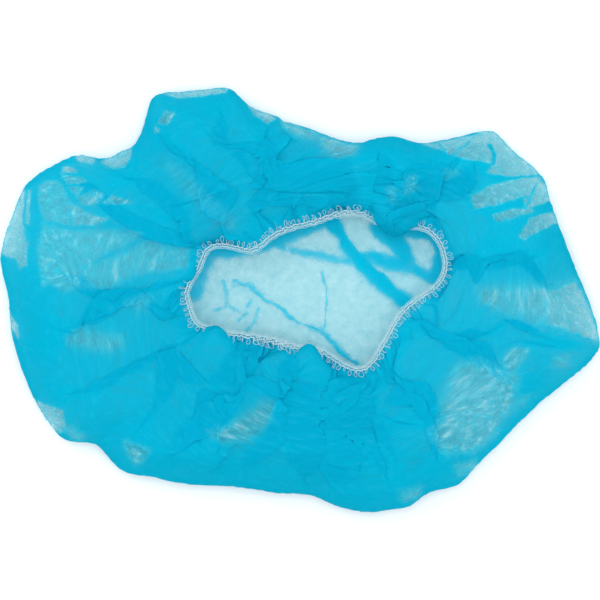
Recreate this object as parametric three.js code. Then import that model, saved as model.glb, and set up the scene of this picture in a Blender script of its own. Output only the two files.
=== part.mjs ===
// A disposable bouffant cap of thin nonwoven cloth, lying on a table with its gathered mouth up.
// One round cut of cloth is the whole cap: it lies flat underneath, turns over at the rim, and comes
// back over itself in puffs and folds to the mouth, where an elastic band gathers its edge.
// Millimetres, +Z up. The origin is on the table, under the middle of the lying cap.
import * as THREE from 'three';

// Sizes of the cap as it lies
const lyingWidth = 320;
const lyingDepth = 226;
const puffRise = 34;
const rimRise = 8;
const clothWall = 1;

// The mouth and the elastic band that gathers it
const mouthWidth = 138;
const mouthDepth = 83;
const mouthAcross = 8;
const mouthUp = 4.5;
const mouthRise = 22;
const elasticWidth = 2.4;
const elasticThickness = 1.2;
const hemGap = 0.3;

// The gathers: the ruffle's height at the hem, and how much of the upper cloth it reaches over
const gatherDepth = 1.6;
const gatherReach = 0.72;

// The middle of the round cut, as shares of half the lying width and depth
const crownMiddle = { across: -0.06, up: 0 };

// How many steps are taken from one section to the next round the cap
const stepsPerSection = 2;

// Sections round the cap, clockwise from its back left corner. rim is where the cloth turns over, in
// shares of half the lying width and depth. hem is where the same section meets the elastic, in shares
// of half the mouth. puff is the height of its crest, as a share of puffRise. dip lowers its hem, as a
// share of mouthRise.
const sections = [
  { rim: [-0.49, 0.96], hem: [-0.71, 0.6], puff: 0.95, dip: 0.0 },
  { rim: [-0.41, 0.98], hem: [-0.62, 0.55], puff: 1.0, dip: 0.0 },
  { rim: [-0.33, 0.99], hem: [-0.53, 0.5], puff: 1.0, dip: 0.05 },
  { rim: [-0.23, 1.0], hem: [-0.43, 0.56], puff: 0.96, dip: 0.05 },
  { rim: [-0.18, 0.92], hem: [-0.35, 0.68], puff: 0.9, dip: 0.0 },
  { rim: [-0.07, 0.86], hem: [-0.24, 0.78], puff: 0.88, dip: 0.0 },
  { rim: [0.06, 0.79], hem: [-0.09, 0.85], puff: 0.9, dip: 0.0 },
  { rim: [0.2, 0.73], hem: [0.04, 0.9], puff: 0.9, dip: 0.0 },
  { rim: [0.22, 0.75], hem: [0.1, 0.96], puff: 0.92, dip: 0.0 },
  { rim: [0.32, 0.77], hem: [0.24, 1.0], puff: 0.94, dip: 0.05 },
  { rim: [0.4, 0.73], hem: [0.37, 0.99], puff: 0.96, dip: 0.15 },
  { rim: [0.46, 0.75], hem: [0.46, 0.9], puff: 1.0, dip: 0.25 },
  { rim: [0.54, 0.77], hem: [0.57, 0.85], puff: 1.0, dip: 0.3 },
  { rim: [0.62, 0.8], hem: [0.68, 0.83], puff: 0.95, dip: 0.3 },
  { rim: [0.66, 0.78], hem: [0.76, 0.83], puff: 0.92, dip: 0.2 },
  { rim: [0.71, 0.7], hem: [0.83, 0.82], puff: 0.88, dip: 0.05 },
  { rim: [0.81, 0.58], hem: [0.91, 0.72], puff: 0.84, dip: 0.0 },
  { rim: [0.83, 0.48], hem: [0.96, 0.61], puff: 0.84, dip: 0.0 },
  { rim: [0.86, 0.36], hem: [0.99, 0.46], puff: 0.86, dip: 0.0 },
  { rim: [0.88, 0.28], hem: [1.0, 0.35], puff: 0.88, dip: 0.0 },
  { rim: [0.91, 0.17], hem: [0.98, 0.19], puff: 0.88, dip: 0.0 },
  { rim: [0.96, 0.0], hem: [0.9, 0.02], puff: 0.86, dip: 0.0 },
  { rim: [1.0, -0.21], hem: [0.81, -0.06], puff: 0.84, dip: 0.0 },
  { rim: [0.97, -0.28], hem: [0.74, -0.15], puff: 0.86, dip: 0.0 },
  { rim: [0.91, -0.36], hem: [0.67, -0.25], puff: 0.88, dip: 0.0 },
  { rim: [0.8, -0.48], hem: [0.61, -0.39], puff: 0.9, dip: 0.0 },
  { rim: [0.68, -0.65], hem: [0.56, -0.55], puff: 0.92, dip: 0.0 },
  { rim: [0.57, -0.81], hem: [0.5, -0.72], puff: 0.94, dip: 0.0 },
  { rim: [0.53, -0.87], hem: [0.45, -0.87], puff: 0.94, dip: 0.0 },
  { rim: [0.42, -0.91], hem: [0.39, -0.97], puff: 0.94, dip: 0.0 },
  { rim: [0.37, -0.97], hem: [0.32, -1.0], puff: 0.96, dip: 0.0 },
  { rim: [0.29, -0.99], hem: [0.25, -0.96], puff: 1.0, dip: 0.0 },
  { rim: [0.21, -1.0], hem: [0.18, -0.9], puff: 1.0, dip: 0.0 },
  { rim: [0.12, -0.97], hem: [0.11, -0.81], puff: 0.98, dip: 0.05 },
  { rim: [0.04, -0.92], hem: [0.01, -0.74], puff: 0.96, dip: 0.15 },
  { rim: [-0.07, -0.91], hem: [-0.11, -0.72], puff: 0.96, dip: 0.15 },
  { rim: [-0.2, -0.88], hem: [-0.24, -0.66], puff: 0.98, dip: 0.05 },
  { rim: [-0.37, -0.87], hem: [-0.38, -0.61], puff: 1.0, dip: 0.0 },
  { rim: [-0.5, -0.83], hem: [-0.53, -0.56], puff: 0.98, dip: 0.0 },
  { rim: [-0.59, -0.81], hem: [-0.64, -0.54], puff: 0.94, dip: 0.05 },
  { rim: [-0.65, -0.72], hem: [-0.73, -0.51], puff: 0.9, dip: 0.1 },
  { rim: [-0.69, -0.67], hem: [-0.78, -0.47], puff: 0.88, dip: 0.1 },
  { rim: [-0.76, -0.67], hem: [-0.84, -0.45], puff: 0.86, dip: 0.05 },
  { rim: [-0.81, -0.63], hem: [-0.89, -0.45], puff: 0.84, dip: 0.0 },
  { rim: [-0.89, -0.45], hem: [-0.92, -0.38], puff: 0.82, dip: 0.0 },
  { rim: [-0.93, -0.31], hem: [-0.95, -0.26], puff: 0.8, dip: 0.0 },
  { rim: [-0.96, -0.16], hem: [-0.97, -0.14], puff: 0.78, dip: 0.0 },
  { rim: [-0.97, 0.02], hem: [-0.99, -0.02], puff: 0.76, dip: 0.05 },
  { rim: [-1.0, 0.2], hem: [-0.95, 0.14], puff: 0.74, dip: 0.15 },
  { rim: [-0.95, 0.43], hem: [-0.89, 0.3], puff: 0.74, dip: 0.15 },
  { rim: [-0.91, 0.55], hem: [-0.86, 0.43], puff: 0.76, dip: 0.05 },
  { rim: [-0.8, 0.65], hem: [-0.84, 0.51], puff: 0.8, dip: 0.0 },
  { rim: [-0.72, 0.69], hem: [-0.81, 0.56], puff: 0.84, dip: 0.0 },
  { rim: [-0.66, 0.65], hem: [-0.78, 0.59], puff: 0.86, dip: 0.0 },
  { rim: [-0.6, 0.7], hem: [-0.76, 0.6], puff: 0.88, dip: 0.0 },
  { rim: [-0.55, 0.73], hem: [-0.74, 0.61], puff: 0.9, dip: 0.0 },
  { rim: [-0.51, 0.87], hem: [-0.73, 0.61], puff: 0.92, dip: 0.0 },
];

// The under layer, from the middle of the cut out to the rim: reach is a share of the way, and rise a
// share of rimRise. It lies flat on the table as far as it is level.
const underSteps = [
  { reach: 0.16, rise: 0 },
  { reach: 0.34, rise: 0 },
  { reach: 0.52, rise: 0 },
  { reach: 0.68, rise: 0 },
  { reach: 0.8, rise: 0 },
  { reach: 0.89, rise: 0.14 },
  { reach: 0.955, rise: 0.42 },
  { reach: 1, rise: 1 },
];

// The upper layer, from the rim in to the hem: inward is a share of the way. climb goes from 0 at the
// rim's height to 1 at the crest, and fall from 0 at the crest to 1 at the hem's height.
const upperSteps = [
  { inward: 0.03, climb: 0.36, fall: 0 },
  { inward: 0.1, climb: 0.64, fall: 0 },
  { inward: 0.2, climb: 0.86, fall: 0 },
  { inward: 0.33, climb: 1, fall: 0 },
  { inward: 0.48, climb: 1, fall: 0.12 },
  { inward: 0.63, climb: 1, fall: 0.34 },
  { inward: 0.77, climb: 1, fall: 0.6 },
  { inward: 0.89, climb: 1, fall: 0.84 },
  { inward: 1, climb: 1, fall: 1 },
];

// Main folds of the upper layer: ridges along a line from one place to another, in shares of half the
// lying width and depth. wide is a share of half the lying depth, and high a share of puffRise.
const upperFolds = [
  { from: [-0.38, 0.88], to: [-0.22, 0.36], wide: 0.13, high: 0.16 },
  { from: [-0.16, 0.86], to: [-0.08, 0.44], wide: 0.11, high: 0.14 },
  { from: [0.1, 0.68], to: [0.0, 0.42], wide: 0.1, high: 0.12 },
  { from: [0.58, 0.66], to: [0.3, 0.4], wide: 0.13, high: 0.2 },
  { from: [0.84, 0.32], to: [0.5, 0.2], wide: 0.12, high: 0.15 },
  { from: [0.96, -0.14], to: [0.5, 0.06], wide: 0.1, high: 0.18 },
  { from: [0.72, -0.52], to: [0.42, -0.08], wide: 0.12, high: 0.14 },
  { from: [0.52, -0.76], to: [0.3, -0.34], wide: 0.12, high: 0.14 },
  { from: [0.4, -0.62], to: [-0.6, -0.74], wide: 0.1, high: 0.14 },
  { from: [-0.3, -0.66], to: [0.02, -0.34], wide: 0.12, high: 0.18 },
  { from: [-0.72, -0.5], to: [-0.3, -0.26], wide: 0.12, high: 0.15 },
  { from: [-0.9, -0.08], to: [-0.38, 0.0], wide: 0.12, high: 0.16 },
  { from: [-0.86, 0.5], to: [-0.84, -0.3], wide: 0.1, high: 0.14 },
  { from: [-0.62, 0.38], to: [-0.32, 0.2], wide: 0.12, high: 0.16 },
];

// Creases of the under layer that show inside the mouth, in the same columns.
const crownCreases = [
  { from: [0.1, 0.3], to: [0.36, -0.02], wide: 0.11, high: 0.13 },
  { from: [-0.24, 0.08], to: [0.24, -0.34], wide: 0.1, high: 0.09 },
  { from: [-0.12, 0.2], to: [0.2, 0.12], wide: 0.09, high: 0.07 },
];

const halfLying = new THREE.Vector2(lyingWidth / 2, lyingDepth / 2);
const halfMouth = new THREE.Vector2(mouthWidth / 2, mouthDepth / 2);
const mouthMiddle = new THREE.Vector2(mouthAcross, mouthUp);
const stepsRound = sections.length * stepsPerSection;

// A place on the lying cap, in millimetres, from its shares of the half width and half depth.
function lyingPlace([across, up]) {
  return new THREE.Vector2(across * halfLying.x, up * halfLying.y);
}

// The same for a place on the mouth's edge.
function mouthPlace([across, up]) {
  return new THREE.Vector2(across * halfMouth.x, up * halfMouth.y).add(mouthMiddle);
}

// A closed smooth line through one place of each section, with stepsPerSection points for each.
function closedLine(places) {
  const knots = places.map((place) => new THREE.Vector3(place.x, place.y, 0));
  const curve = new THREE.CatmullRomCurve3(knots, true, 'centripetal');
  return Array.from({ length: stepsRound }, (_, step) => {
    const point = curve.getPoint(step / stepsRound);
    return new THREE.Vector2(point.x, point.y);
  });
}

// A section's column at every step round the cap, blended between neighbouring sections.
function columnRound(name) {
  return Array.from({ length: stepsRound }, (_, step) => {
    const here = Math.floor(step / stepsPerSection);
    const next = (here + 1) % sections.length;
    const share = (step % stepsPerSection) / stepsPerSection;
    return THREE.MathUtils.lerp(sections[here][name], sections[next][name], share);
  });
}

// The direction away from the inside of a closed clockwise line, at each of its points.
function outwardRound(line) {
  return line.map((_, step) => {
    const before = line[(step + line.length - 1) % line.length];
    const after = line[(step + 1) % line.length];
    const along = after.clone().sub(before).normalize();
    return new THREE.Vector2(-along.y, along.x);
  });
}

const rimLine = closedLine(sections.map((section) => lyingPlace(section.rim)));
const hemLine = closedLine(sections.map((section) => mouthPlace(section.hem)));
const hemOutward = outwardRound(hemLine);
const puffRound = columnRound('puff');
const dipRound = columnRound('dip');
const crownPlace = lyingPlace([crownMiddle.across, crownMiddle.up]);

// The height of the hem and of the elastic at one step round the mouth.
function hemHeight(step) {
  return mouthRise * (1 - dipRound[step]);
}

// How much a list of folds lifts the cloth at a place: a smooth ridge round each fold's line.
function foldLift(folds, place) {
  return folds.reduce((lift, fold) => {
    const start = lyingPlace(fold.from);
    const run = lyingPlace(fold.to).sub(start);
    const share = place.clone().sub(start).dot(run) / run.lengthSq();
    const nearest = start.clone().addScaledVector(run, THREE.MathUtils.clamp(share, 0, 1));
    const away = place.distanceTo(nearest) / (fold.wide * halfLying.y);
    return away < 1 ? lift + fold.high * puffRise * (1 - away ** 2) ** 2 : lift;
  }, 0);
}

// The ruffle of the gathers: ridges and hollows by turns, of uneven height.
function gatherLift(step, inward) {
  const start = 1 - gatherReach;
  const share = THREE.MathUtils.smoothstep(inward, start, 1);
  const uneven = 1 + 0.35 * Math.sin(step * 2.3);
  return (step % 2 ? 1 : -1) * gatherDepth * uneven * share;
}

// One point of the under layer's mid-wall.
function underPoint(step, { reach, rise }) {
  const place = crownPlace.clone().lerp(rimLine[step], reach);
  const level = clothWall / 2 + rise * (rimRise - clothWall / 2);
  const crease = foldLift(crownCreases, place);
  return new THREE.Vector3(place.x, place.y, level + crease);
}

// One point of the upper layer's mid-wall. Its last row ends beside the elastic.
function upperPoint(step, { inward, climb, fall }) {
  const beside = elasticWidth / 2 + hemGap + clothWall / 2;
  const hem = hemLine[step].clone().addScaledVector(hemOutward[step], beside);
  const place = rimLine[step].clone().lerp(hem, inward);
  const crest = puffRise * puffRound[step];
  const climbed = THREE.MathUtils.lerp(rimRise, crest, climb);
  const level = THREE.MathUtils.lerp(climbed, hemHeight(step), fall);
  const calm = THREE.MathUtils.smoothstep(inward, 0, 0.2) * (1 - THREE.MathUtils.smoothstep(inward, 0.8, 1));
  const fold = foldLift(upperFolds, place) * calm;
  return new THREE.Vector3(place.x, place.y, level + fold + gatherLift(step, inward));
}

// The mid-wall of the cap: its first point is the middle of the cut, and the rings follow, from there
// under the cap to the rim and over it to the hem.
function midWall() {
  const steps = Array.from({ length: stepsRound }, (_, step) => step);
  const middle = new THREE.Vector3(crownPlace.x, crownPlace.y, clothWall / 2);
  const rings = [
    ...underSteps.map((row) => steps.map((step) => underPoint(step, row))),
    ...upperSteps.map((row) => steps.map((step) => upperPoint(step, row))),
  ];
  return [middle, ...rings.flat()];
}

// The triangles of a fan round the first point and of the bands between the rings, facing out.
function skinTriangles(ringCount) {
  const at = (ring, step) => 1 + ring * stepsRound + (step % stepsRound);
  const triangles = [];
  for (let step = 0; step < stepsRound; step += 1) {
    triangles.push([0, at(0, step), at(0, step + 1)]);
    for (let ring = 0; ring + 1 < ringCount; ring += 1) {
      triangles.push([at(ring, step), at(ring + 1, step), at(ring + 1, step + 1)]);
      triangles.push([at(ring, step), at(ring + 1, step + 1), at(ring, step + 1)]);
    }
  }
  return triangles;
}

// A geometry from points and triangles.
function meshGeometry(points, triangles) {
  const geometry = new THREE.BufferGeometry();
  geometry.setAttribute('position', new THREE.Float32BufferAttribute(points.flatMap((point) => point.toArray()), 3));
  geometry.setIndex(triangles.flat());
  geometry.computeVertexNormals();
  return geometry;
}

// The cap's cloth: one wall with an outer and an inner skin, joined by a narrow strip along the hem.
function clothGeometry() {
  const ringCount = underSteps.length + upperSteps.length;
  const middle = midWall();
  const outer = skinTriangles(ringCount);
  const normals = meshGeometry(middle, outer).getAttribute('normal');
  const shifted = (side) =>
    middle.map((point, index) => {
      const normal = new THREE.Vector3().fromBufferAttribute(normals, index);
      return point.clone().addScaledVector(normal, (side * clothWall) / 2);
    });
  const count = middle.length;
  const inner = outer.map(([a, b, c]) => [count + a, count + c, count + b]);
  const hemStart = 1 + (ringCount - 1) * stepsRound;
  const strip = Array.from({ length: stepsRound }, (_, step) => {
    const here = hemStart + step;
    const next = hemStart + ((step + 1) % stepsRound);
    return [
      [here, count + here, count + next],
      [here, count + next, next],
    ];
  });
  return meshGeometry([...shifted(1), ...shifted(-1)], [...outer, ...inner, ...strip.flat()]);
}

// The elastic band: a closed flat band that follows the hem on its inner side.
function elasticGeometry() {
  const corners = [
    [1, -0.5],
    [1, 0.5],
    [0, 1],
    [-1, 0.5],
    [-1, -0.5],
    [0, -1],
  ];
  const points = hemLine.flatMap((place, step) =>
    corners.map(([side, level]) => {
      const edge = place.clone().addScaledVector(hemOutward[step], (side * elasticWidth) / 2);
      return new THREE.Vector3(edge.x, edge.y, hemHeight(step) + (level * elasticThickness) / 2);
    }),
  );
  const at = (step, corner) => (step % stepsRound) * corners.length + (corner % corners.length);
  const triangles = hemLine.flatMap((_, step) =>
    corners.flatMap((_, corner) => [
      [at(step, corner), at(step + 1, corner + 1), at(step + 1, corner)],
      [at(step, corner), at(step, corner + 1), at(step + 1, corner + 1)],
    ]),
  );
  return meshGeometry(points, triangles);
}

function namedMesh(name, geometry, color, roughness) {
  const material = new THREE.MeshStandardMaterial({ color, roughness, metalness: 0 });
  const mesh = new THREE.Mesh(geometry, material);
  mesh.name = name;
  return mesh;
}

const cap = new THREE.Group();
cap.name = 'bouffant_cap';
cap.add(namedMesh('cap_cloth', clothGeometry(), 0x10b2d8, 0.75));
cap.add(namedMesh('elastic_band', elasticGeometry(), 0xe8f2f2, 0.8));

export default cap;
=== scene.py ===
import math

import bpy
import numpy as np
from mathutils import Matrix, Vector, noise
from mathutils.bvhtree import BVHTree


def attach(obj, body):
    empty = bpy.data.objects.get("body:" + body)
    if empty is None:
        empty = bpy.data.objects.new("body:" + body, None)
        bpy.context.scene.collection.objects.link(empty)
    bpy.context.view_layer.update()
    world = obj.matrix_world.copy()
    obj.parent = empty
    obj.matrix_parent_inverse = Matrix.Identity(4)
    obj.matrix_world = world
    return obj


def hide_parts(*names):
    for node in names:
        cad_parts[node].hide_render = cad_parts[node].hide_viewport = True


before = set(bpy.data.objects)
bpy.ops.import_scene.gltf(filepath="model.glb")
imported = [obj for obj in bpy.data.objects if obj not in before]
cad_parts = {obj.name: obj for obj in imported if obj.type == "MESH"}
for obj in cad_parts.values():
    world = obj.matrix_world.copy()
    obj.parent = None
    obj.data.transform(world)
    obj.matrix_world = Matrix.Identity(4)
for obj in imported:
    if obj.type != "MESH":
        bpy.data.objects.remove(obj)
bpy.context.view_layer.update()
bpy.ops.object.select_all(action="DESELECT")
scene = bpy.context.scene

# The table, the light and the camera
# The cap lies on a plain white table in even light from all round, as in a product photograph, and
# the camera looks straight down at it.
table_white = (0.97, 0.97, 0.97, 1.0)
light_all_round = 0.7
camera_lens_mm = 135.0
sensor_mm = 36.0
framed_width = 0.3204
framed_level = 0.008

bpy.ops.mesh.primitive_plane_add(size=12.0, location=(0.0, 0.0, -0.0002))
table = bpy.context.object
table.name = "table"
bpy.ops.object.transform_apply(location=True, rotation=True, scale=True)
table_paint = bpy.data.materials.new("table_paint")
table_paint.use_nodes = True
table_shader = table_paint.node_tree.nodes["Principled BSDF"]
table_shader.inputs["Base Color"].default_value = table_white
table_shader.inputs["Roughness"].default_value = 0.9
table_shader.inputs["Specular IOR Level"].default_value = 0.0
table.data.materials.append(table_paint)

scene.world = bpy.data.worlds.new("studio")
scene.world.use_nodes = True
studio = scene.world.node_tree.nodes["Background"]
studio.inputs["Color"].default_value = (1.0, 1.0, 1.0, 1.0)
studio.inputs["Strength"].default_value = light_all_round
scene.view_settings.view_transform = "Standard"
scene.cycles.transparent_max_bounces = 28
scene.cycles.max_bounces = 8
scene.cycles.diffuse_bounces = 5
scene.cycles.transmission_bounces = 5

for lamp_name, lamp_place, lamp_size, lamp_watts in (
    ("softbox_overhead", (0.0, 0.001, 1.6), 1.1, 12.0),
    ("softbox_back_left", (-0.7, 0.8, 1.1), 0.7, 3.5),
    ("softbox_front_right", (0.9, -0.7, 1.2), 0.9, 1.5),
):
    bpy.ops.object.light_add(type="AREA", location=lamp_place)
    lamp = bpy.context.object
    lamp.name = lamp_name
    lamp.data.size = lamp_size
    lamp.data.energy = lamp_watts
    lamp.rotation_euler = (-Vector(lamp_place)).to_track_quat("-Z", "Y").to_euler()

camera_height = framed_level + framed_width / 2 * camera_lens_mm / (sensor_mm / 2)
bpy.ops.object.camera_add(location=(0.0, 0.0, camera_height), rotation=(0.0, 0.0, 0.0))
camera = bpy.context.object
camera.name = "camera"
camera.data.lens = camera_lens_mm
camera.data.sensor_width = sensor_mm
camera.data.clip_start = 0.01
camera.data.clip_end = 20.0
scene.camera = camera


# The cap's cloth
# One round cut of spunbond nonwoven, 533 mm across. It lies flat underneath, turns over at the rim
# and comes back over itself in folds, and its edge is gathered about four to one onto the elastic.
cut_radius = 0.533 / 2
ring_count = 50
around = 720
crown_middle = np.array((-0.0096, 0.0))
rim_inset = -0.0012
rim_levels = (0.004, 0.006, 0.008, 0.01, 0.012, 0.015, 0.018, 0.022)
laid_level = 0.0004
cap_shell = BVHTree.FromObject(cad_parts["cap_cloth"], bpy.context.evaluated_depsgraph_get())
turn = np.arange(around) * 2 * np.pi / around
facing = np.stack((np.cos(turn), np.sin(turn)), axis=1)


def read(items, name, wide=1, kind=np.float32):
    """One property of all the items of a mesh, in rows of so many values."""
    values = np.empty(len(items) * wide, dtype=kind)
    items.foreach_get(name, values)
    return values.reshape(-1, wide) if wide > 1 else values


def round_smooth(values, width):
    """Values round a closed line, averaged over a bell of that width, in steps."""
    reach = int(3 * width) + 1
    bell = np.exp(-0.5 * (np.arange(-reach, reach + 1) / width) ** 2)
    bell /= bell.sum()
    padded = np.concatenate((values[-reach:], values, values[:reach]))
    return np.convolve(padded, bell, mode="valid")


def reach_of_shell(way):
    """How far the CAD shell reaches from the crown's middle in one direction."""
    best = 0.0
    for level in rim_levels:
        start = Vector((*(crown_middle + way * 0.4), level))
        hit = cap_shell.ray_cast(start, Vector((-way[0], -way[1], 0.0)))[0]
        if hit is not None:
            best = max(best, (np.array(hit[:2]) - crown_middle) @ way)
    return best


rim_reach = round_smooth(np.array([reach_of_shell(way) for way in facing]), 1.5) - rim_inset
rim_line = crown_middle + facing * rim_reach[:, None]

band_points = np.array([point.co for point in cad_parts["elastic_band"].data.vertices])
mouth_middle = (band_points.max(0)[:2] + band_points.min(0)[:2]) / 2
band_turn = np.arctan2(band_points[:, 1] - mouth_middle[1], band_points[:, 0] - mouth_middle[0])
mouth_by_turn = []
for angle in turn:
    near = np.exp(-0.5 * (np.angle(np.exp(1j * (band_turn - angle))) / 0.02) ** 2)
    mouth_by_turn.append((band_points * near[:, None]).sum(0) / near.sum())
mouth_by_turn = np.array(mouth_by_turn)
mouth_steps = np.linalg.norm(np.roll(mouth_by_turn, -1, axis=0) - mouth_by_turn, axis=1)
mouth_length = mouth_steps.sum()
mouth_share = np.concatenate(((0.0,), np.cumsum(mouth_steps))) / mouth_length


def mouth_at(share):
    """Points of the mouth's line at shares of its length, counted from the +X side."""
    closed = np.vstack((mouth_by_turn, mouth_by_turn[:1]))
    return np.stack([np.interp(share % 1.0, mouth_share, closed[:, k]) for k in range(3)], axis=-1)


# Each part of the hem is sewn to the elastic nearest in direction, evened out along its length
by_turn = turn / (2 * np.pi)
by_place = np.interp(by_turn, by_turn, mouth_share[:-1])
hem_share = by_turn + 0.6 * (by_place - by_turn)
hem_line = mouth_at(hem_share)

# Side view of the laid cloth: shares of the way from the crown to the rim, then from the rim to the
# mouth, and heights in metres. The heights of the upper layer are before its folds.
under_shares = np.array((0.0, 0.86, 0.93, 0.97, 0.99, 1.0))
under_heights = np.array((laid_level, laid_level, 0.0016, 0.0042, 0.0072, 0.0105))
upper_shares = np.array((0.0, 0.02, 0.06, 0.13, 0.25, 0.42, 0.6, 0.78, 0.92, 1.0))
upper_heights = np.array((0.0105, 0.0145, 0.0195, 0.0245, 0.0285, 0.03, 0.028, 0.0245, 0.0222, 0.021))
side_steps = 240
side = np.linspace(0.0, 1.0, side_steps)

# How strongly a wavy fold turns to shorten the cloth to a share of its length
shortened = np.array((0.0, 0.11, 0.17, 0.235, 0.28, 0.47, 0.62, 0.765, 0.88, 0.94, 1.0, 9.0))
most_swing = 2.3
swing = np.array((most_swing, 2.2, 2.1, 1.98, 1.9, 1.57, 1.3, 1.0, 0.7, 0.5, 0.0, 0.0))
draws = np.random.default_rng(21)


def wander(where, waves, lowest=1):
    """A smooth uneven line round the cap, between about -1 and 1."""
    total = np.zeros_like(where)
    for wave in range(lowest, lowest + waves):
        total += np.sin(wave * where + draws.uniform(0, 2 * np.pi)) * draws.uniform(0.5, 1.0)
    return total / math.sqrt(waves * 0.6)


# Folds that run round the cap take up the slack between the rim and the mouth
upper_plan = hem_line[:, :2] - rim_line
path_x = np.linalg.norm(upper_plan, axis=1)[:, None] * side[None, :]
path_z = np.interp(side, upper_shares, upper_heights)[None, :].repeat(around, axis=0)
path_length = np.hypot(np.diff(path_x, axis=1), np.diff(path_z, axis=1)).sum(1)
under_length = rim_reach * 1.004 + 0.002
slack_share = path_length / (cut_radius - under_length)
cross_swing = 0.6 * np.interp(round_smooth(slack_share, 12), shortened, swing)
cross_count = 2.1 + 0.5 * wander(turn, 3)
cross_start = 2.6 * wander(turn, 4) + 3 * turn
window = np.sin(np.pi * side) ** 0.6
cross_wave = np.sin(2 * np.pi * cross_count[:, None] * side[None, :] + cross_start[:, None])
cross_turn = cross_swing[:, None] * cross_wave * window[None, :]
cross_go = np.cumsum(np.cos(cross_turn), axis=1)
cross_go -= cross_go[:, :1]
cross_go /= cross_go[:, -1:]
cross_rise = np.cumsum(np.sin(cross_turn), axis=1) * (cut_radius - under_length)[:, None] / side_steps
cross_rise -= cross_rise[:, -1:] * side[None, :]

rows = [np.array((0.0,))]
radii = [np.array((0.0,))]
for ring in range(1, ring_count + 1):
    rows.append(np.arange(6 * ring) * 2 * np.pi / (6 * ring))
    radii.append(np.full(6 * ring, cut_radius * ring / ring_count))


def at_turn(values, angle):
    """A line of values round the cap, read at other angles."""
    return np.interp(angle, np.append(turn, 2 * np.pi), np.append(values, values[0]))


def on_side(grid, angle, share):
    """A grid of values by turn and by share of the side, read between its points."""
    across = (angle / (2 * np.pi) * around) % around
    low = np.floor(across).astype(int) % around
    part = across - np.floor(across)
    along = np.clip(share, 0, 1) * (side_steps - 1)
    step = np.minimum(np.floor(along).astype(int), side_steps - 2)
    rest = along - step
    high = (low + 1) % around
    first = grid[low, step] * (1 - rest) + grid[low, step + 1] * rest
    second = grid[high, step] * (1 - rest) + grid[high, step + 1] * rest
    return first * (1 - part) + second * part


def laid_ring(radius, angle):
    """Where one ring of the cut comes to lie, before the folds that run out from the mouth."""
    reach = at_turn(rim_reach, angle)
    under = at_turn(under_length, angle)
    share = (radius - under) / (cut_radius - under)
    way = np.stack((np.cos(angle), np.sin(angle)), axis=1)
    rim = crown_middle + way * reach[:, None]
    hem = np.stack([at_turn(hem_line[:, k], angle) for k in range(3)], axis=1)
    go = on_side(cross_go, angle, share)
    plan = rim + (hem[:, :2] - rim) * go[:, None]
    level = np.interp(go, upper_shares, upper_heights) + on_side(cross_rise, angle, share) * 0.25
    level += (hem[:, 2] - upper_heights[-1]) * np.clip(go, 0, 1) ** 3
    below = share < 0
    inner = np.clip(radius / under, 0, 1)
    plan[below] = (crown_middle + way * (reach * inner)[:, None])[below]
    level[below] = np.interp(inner, under_shares, under_heights)[below]
    return np.column_stack((plan, level)), np.clip(share, 0, 1)


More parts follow.
